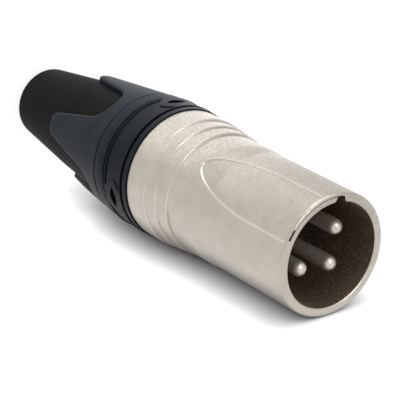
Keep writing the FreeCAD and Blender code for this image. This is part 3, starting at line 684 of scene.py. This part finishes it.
def makeHousing():
    h = housing
    points = housingProfile()
    rows = len(points)
    mesh = bpy.data.meshes.new("housing profile")
    mesh.from_pydata([(0, 0, i) for i in range(rows)], [], [])
    stored = {"radius": [p[0] for p in points], "height": [p[1] for p in points]}
    for kind in ("outside", "rim", "slot", "both", "latch"):
        stored[kind] = [float(p[2] == kind) for p in points]
    for name, values in stored.items():
        mesh.attributes.new(name, "FLOAT", "POINT").data.foreach_set("value", values)
    source = bpy.data.objects.new("housing profile", mesh)
    scene.collection.objects.link(source)

    f = Form("cast housing")
    profile = f.source.outputs["Geometry"]
    columns = f.input("Columns", h["columns"], "Int")
    tongueDepth = f.input("Tongue depth", h["tongueDepth"])
    halfWidth = f.input("Tongue half width", h["tongueHalfWidth"])
    reach = f.input("Tongue reach", h["tongueReach"])
    lipWidth = f.input("Lip width", h["lipWidth"])
    gripAngle = f.input("Grip angle", h["gripAngle"])
    stepSoft = f.input("Step softness", h["stepSoft"])
    edgeSoft = f.input("Edge softness", h["edgeSoft"])

    grid = f.add("GeometryNodeMeshGrid")
    grid.inputs["Vertices X"].default_value = rows + 1
    around = f.math("ADD", columns, 1.0)
    f.join(around, grid.inputs["Vertices Y"])
    index = f.add("GeometryNodeInputIndex").outputs[0]
    row = f.math("FLOOR", f.math("DIVIDE", f.math("ADD", index, 0.5), around))
    column = f.math("SUBTRACT", index, f.math("MULTIPLY", row, around))
    step = f.math("MODULO", row, float(rows))
    at = {name: f.attribute(profile, name, step) for name in stored}
    angle = f.math("SUBTRACT", f.math("MULTIPLY", f.math("DIVIDE", column, columns), 360.0), 180.0)

    def cosine(degrees):
        return f.math("COSINE", f.math("MULTIPLY", degrees, math.pi / 180))

    def sine(degrees):
        return f.math("SINE", f.math("MULTIPLY", degrees, math.pi / 180))

    def times(*values):
        total = values[0]
        for value in values[1:]:
            total = f.math("MULTIPLY", total, value)
        return total

    # scooped grips, two shallow cylinders on either side of the axis
    radius = at["radius"]
    height = at["height"]
    fromGrip = f.math("SUBTRACT", angle, gripAngle)
    along = f.math("ABSOLUTE", cosine(fromGrip))
    across = sine(fromGrip)
    outer = radius
    glint = 0.0
    glintBelow, glintAbove = h["stepGlint"]
    flare = (h["rearRadius"] - h["sleeveRadius"]) / (h["sleeveEndZ"] - h["flareEndZ"])
    for z, deep, spread in h["steps"]:
        ridge = h["sleeveRadius"] + flare * (h["sleeveEndZ"] - z)
        shift = (ridge - deep) / (1 - math.cos(math.radians(spread)))
        scoopRadius = deep + shift
        inside = f.math("SQRT", f.math("SUBTRACT", scoopRadius ** 2, times(across, across, shift ** 2)))
        scoop = f.math("SUBTRACT", inside, times(along, shift))
        cutTo = f.math("MINIMUM", outer, scoop)
        part = f.ramp(height, z, f.math("ADD", stepSoft, z), soft=True)
        cutDepth = f.math("SUBTRACT", outer, cutTo)
        # painted glint: a band at each step's edge, where it is cut, that lightens the colour there
        edge = times(f.ramp(cutDepth, 0.002, 0.03), f.ramp(height, z - glintBelow, z - 0.006),
                     f.ramp(height, z + glintAbove, z + 0.04))
        glint = f.math("MAXIMUM", edge, glint)
        outer = f.math("ADD", outer, times(f.math("SUBTRACT", cutTo, outer), part))

    # tongue, straight towards the mouth and half an ellipse behind
    sideways = times(outer, cosine(angle))
    u = f.math("DIVIDE", sideways, halfWidth)
    w = f.math("DIVIDE", f.math("MAXIMUM", f.math("SUBTRACT", h["tongueBendZ"], height), 0.0), reach)
    size = f.math("MAXIMUM", f.math("SQRT", f.math("ADD", times(u, u), times(w, w))), 0.001)
    uSlope = f.math("DIVIDE", u, halfWidth)
    wSlope = f.math("DIVIDE", w, reach)
    steep = f.math("SQRT", f.math("ADD", times(uSlope, uSlope), times(wSlope, wSlope)))
    slope = f.math("DIVIDE", steep, size)
    away = f.math("DIVIDE", f.math("SUBTRACT", size, 1.0), f.math("MAXIMUM", slope, 0.01))
    tongueTop = h["tongueTopZ"]
    front = times(f.ramp(sine(angle), -0.2, -0.4), f.ramp(height, tongueTop + 0.04, tongueTop - 0.04))
    recess = times(f.ramp(away, 0.0, f.math("MULTIPLY", edgeSoft, -1.0), soft=True), tongueDepth, front)
    lipHeight = times(f.math("MAXIMUM", f.math("SUBTRACT", h["sleeveEndZ"], height), 0.0),
                      h["lipRise"] / (h["sleeveEndZ"] - h["flareEndZ"]))
    softIn, softOut = f.math("MULTIPLY", edgeSoft, -0.5), f.math("MULTIPLY", edgeSoft, 0.5)
    lipFoot, lipEdge = f.math("ADD", lipWidth, softOut), f.math("SUBTRACT", lipWidth, softOut)
    lipShape = times(f.ramp(away, softIn, softOut, soft=True), f.ramp(away, lipFoot, lipEdge, soft=True))
    outer = f.math("ADD", f.math("SUBTRACT", outer, recess), times(lipHeight, lipShape, front))
    radius = f.math("ADD", radius, times(f.math("SUBTRACT", outer, radius), at["outside"]))
    # painted glint along the lip round the tongue
    lipGlint = times(f.ramp(away, softIn, 0.0, soft=True),
                    f.ramp(away, lipWidth, f.math("MULTIPLY", lipWidth, 0.3), soft=True), front)
    glint = times(f.math("MAXIMUM", lipGlint, glint), at["outside"])

    # key groove through the rim and down the mouth
    fromKey = f.math("SUBTRACT", angle, h["keyAngle"])
    keySide = f.math("ABSOLUTE", times(sine(fromKey), plug["mouthRadius"] + 0.4))
    keyFront = f.ramp(cosine(fromKey), 0.0, 0.1)
    keyCut = times(f.ramp(keySide, h["keyBase"], h["keyTop"], 0.0, h["keyDepth"]), keyFront)
    rimRows = f.math("MINIMUM", f.math("ADD", f.math("ADD", at["rim"], at["both"]), at["latch"]), 1.0)
    keyed = f.math("MAXIMUM", radius, f.math("ADD", keyCut, plug["mouthRadius"]))
    radius = f.math("ADD", radius, times(f.math("SUBTRACT", keyed, radius), rimRows))

    # latch recess in the mouth
    depth, half = h["latch"][2:]
    fromTongue = f.math("ABSOLUTE", f.math("SUBTRACT", angle, h["tongueAngle"]))
    latch = f.ramp(fromTongue, half + 0.2, half - 0.2, 0.0, depth)
    radius = f.math("ADD", radius, times(at["latch"], latch))

    # slot and fine seam sunk in the rim
    for name, rowsOf in (("seam", at["both"]), ("slot", f.math("ADD", at["both"], at["slot"]))):
        start, end, deep = h[name]
        half = (end - start) / 2
        near = f.math("ABSOLUTE", f.math("SUBTRACT", angle, (start + end) / 2))
        part = times(f.ramp(near, half + 0.2, half - 0.2), rowsOf)
        bottom = plug["mouthZ"] - deep
        height = f.math("ADD", height, times(f.math("SUBTRACT", bottom, height), part))

    place = f.add("ShaderNodeCombineXYZ")
    f.join(times(radius, cosine(angle), mm), place.inputs[0])
    f.join(times(radius, sine(angle), mm), place.inputs[1])
    f.join(times(height, mm), place.inputs[2])
    move = f.add("GeometryNodeSetPosition")
    f.join(grid.outputs["Mesh"], move.inputs["Geometry"])
    f.join(place.outputs[0], move.inputs["Position"])
    # painted glint along the edges, kept on the points for the finish
    keep = f.add("GeometryNodeStoreNamedAttribute", data_type="FLOAT", domain="POINT")
    keep.inputs["Name"].default_value = "edge glint"
    f.join(move.outputs["Geometry"], keep.inputs["Geometry"])
    f.join(glint, keep.inputs["Value"])
    merge = f.add("GeometryNodeMergeByDistance")
    merge.inputs["Distance"].default_value = 0.0008 * mm
    f.join(keep.outputs["Geometry"], merge.inputs["Geometry"])
    f.finish(merge.outputs["Geometry"], materials["shell"])
    f.attach(source)

    mesh = baked(source)
    bpy.data.objects.remove(source)
    mesh.name = "housing"
    finishMesh(mesh, "shell", "plug_body", "shell", 28)


makeHousing()


# sizes of the planes in metres, reach of the contact shadow in millimetres
stage = {
    "floor": {"size": 1.6, "reach": 5.0, "closed": 0.25, "open": 0.80, "shade": 0.86, "light": 1.05,
              "mirrored": 0.3, "drop": 0.00002},
    "table": {"size": 1.2, "reach": 6.0, "closed": 0.06, "open": 0.80, "shade": 0.0, "light": 1.16,
              "mirrored": 0.24},
}

# ring-shaped pool of light on the floor to one side of the plug: a soft sheen on the housing's flare
pool = {"outer": (0.075, 0.050), "inner": (0.034, 0.043), "side": (0.020, -0.010), "light": 0.95}


def seenRay(wires):
    # 1 for the rays that show a background: from the camera, off gloss, or through something clear
    path = wires.add("ShaderNodeLightPath")
    either = wires.math("MAXIMUM", path.outputs["Is Glossy Ray"], path.outputs["Is Transmission Ray"])
    return wires.math("MAXIMUM", path.outputs["Is Camera Ray"], either)


def poolStrength(wires):
    # how much brighter the floor is at a place
    place = wires.add("ShaderNodeTexCoord").outputs["Object"]
    away = wires.add("ShaderNodeVectorMath", operation="LENGTH")
    split = wires.add("ShaderNodeSeparateXYZ")
    wires.join(place, away.inputs[0])
    wires.join(place, split.inputs[0])
    ring = wires.math("MULTIPLY", wires.ramp(away.outputs["Value"], *pool["outer"], soft=True),
                      wires.ramp(away.outputs["Value"], *pool["inner"], soft=True))
    part = wires.math("MULTIPLY", ring, wires.ramp(split.outputs[0], *pool["side"], soft=True))
    return wires.math("ADD", wires.math("MULTIPLY", part, pool["light"]), 1.0)


def paleMaterial(name):
    # white surface with the plug's soft contact shadow, clear from behind and to the light on the plug
    looks = stage[name]
    material = bpy.data.materials.new("pale " + name)
    material.use_nodes = True
    wires = Wires(material.node_tree)
    wires.tree.nodes.clear()
    near = wires.add("ShaderNodeAmbientOcclusion", samples=16)
    near.inputs["Distance"].default_value = looks["reach"] * mm
    light = wires.add("ShaderNodeEmission")
    shaded = wires.ramp(near.outputs["AO"], looks["closed"], looks["open"], looks["shade"], looks["light"])
    mirrored = wires.add("ShaderNodeLightPath").outputs["Is Glossy Ray"]
    strength = wires.math("MAXIMUM", shaded, wires.math("MULTIPLY", mirrored, looks["mirrored"]))
    if name == "floor":
        strength = wires.math("MULTIPLY", strength, poolStrength(wires))
    wires.join(strength, light.inputs["Strength"])
    behind = wires.add("ShaderNodeNewGeometry").outputs["Backfacing"]
    shown = wires.math("MULTIPLY", seenRay(wires), wires.math("SUBTRACT", 1.0, behind))
    clear = wires.add("ShaderNodeBsdfTransparent")
    choose = wires.add("ShaderNodeMixShader")
    wires.join(shown, choose.inputs[0])
    wires.join(clear.outputs[0], choose.inputs[1])
    wires.join(light.outputs[0], choose.inputs[2])
    wires.join(choose.outputs[0], wires.add("ShaderNodeOutputMaterial").inputs[0])
    return material


def stagePlane(name, centre, normal):
    across = normal.orthogonal().normalized()
    along = normal.cross(across)
    half = stage[name]["size"] / 2
    signs = ((-1, -1), (1, -1), (1, 1), (-1, 1))
    corners = [tuple(centre + across * (half * a) + along * (half * b)) for a, b in signs]
    mesh = bpy.data.meshes.new(name)
    mesh.from_pydata(corners, [], [(0, 1, 2, 3)])
    mesh.materials.append(paleMaterial(name))
    plane = bpy.data.objects.new(name, mesh)
    scene.collection.objects.link(plane)
    plane.visible_shadow = False  # floor and table don't darken each other


tableNormal = Vector(view["tableNormal"]).normalized()
stagePlane("floor", Vector((0, 0, -stage["floor"]["drop"])), Vector((0, 0, 1)))
stagePlane("table", -tableNormal * view["tableDepth"], tableNormal)

# directions are right, up and towards the viewer, as the photograph shows the plug
lamps = {
    "overhead": {"towards": (-0.07, 0.97, 0.22), "distance": 0.45, "size": 0.16, "power": 0.60},
    "soft-above": {"towards": (0.35, 1.0, 0.35), "distance": 0.50, "size": 0.40, "power": 0.6},
    "front": {"towards": (0.55, 0.25, 1.0), "distance": 0.50, "size": 0.30, "power": 0.6},
}
right, up = Vector(view["right"]), Vector(view["up"])
toViewer = right.cross(up)
plugMiddle = Vector((0, 0, plug["middleZ"] * mm))
for name, lamp in lamps.items():
    light = bpy.data.lights.new(name, "AREA")
    light.size = lamp["size"]
    light.energy = lamp["power"]
    holder = bpy.data.objects.new(name, light)
    holder.visible_camera = False
    scene.collection.objects.link(holder)
    x, y, z = lamp["towards"]
    direction = (right * x + up * y + toViewer * z).normalized()
    holder.location = plugMiddle + direction * lamp["distance"]
    holder.rotation_euler = direction.to_track_quat("Z", "Y").to_euler()

# level is the light on the plug, shown what the camera, gloss and glass see behind it
surround = {"level": 0.50, "shown": 1.0, "white": rgb(1.0, 1.0, 1.0)}
world = bpy.data.worlds.new("surround")
scene.world = world
world.use_nodes = True
wires = Wires(world.node_tree)
wires.tree.nodes.clear()
lighting = wires.add("ShaderNodeBackground")
lighting.inputs["Color"].default_value = surround["white"]
lighting.inputs["Strength"].default_value = surround["level"]
background = wires.add("ShaderNodeBackground")
background.inputs["Color"].default_value = surround["white"]
background.inputs["Strength"].default_value = surround["shown"]
seen = wires.add("ShaderNodeMixShader")
wires.join(seenRay(wires), seen.inputs[0])
wires.join(lighting.outputs[0], seen.inputs[1])
wires.join(background.outputs[0], seen.inputs[2])
wires.join(seen.outputs[0], wires.add("ShaderNodeOutputWorld").inputs[0])

camera = bpy.data.cameras.new("photograph")
camera.lens = view["lens"]
camera.sensor_width = view["sensor"]
camera.clip_start = view["near"]
camera.clip_end = view["far"]
cameraHolder = bpy.data.objects.new("photograph", camera)
scene.collection.objects.link(cameraHolder)
turn = Matrix((right, up, toViewer)).transposed().to_4x4()
cameraHolder.matrix_world = Matrix.Translation(Vector(view["place"])) @ turn
scene.camera = cameraHolder
scene.view_settings.view_transform = "Standard"
print("stage, lamps and camera set")
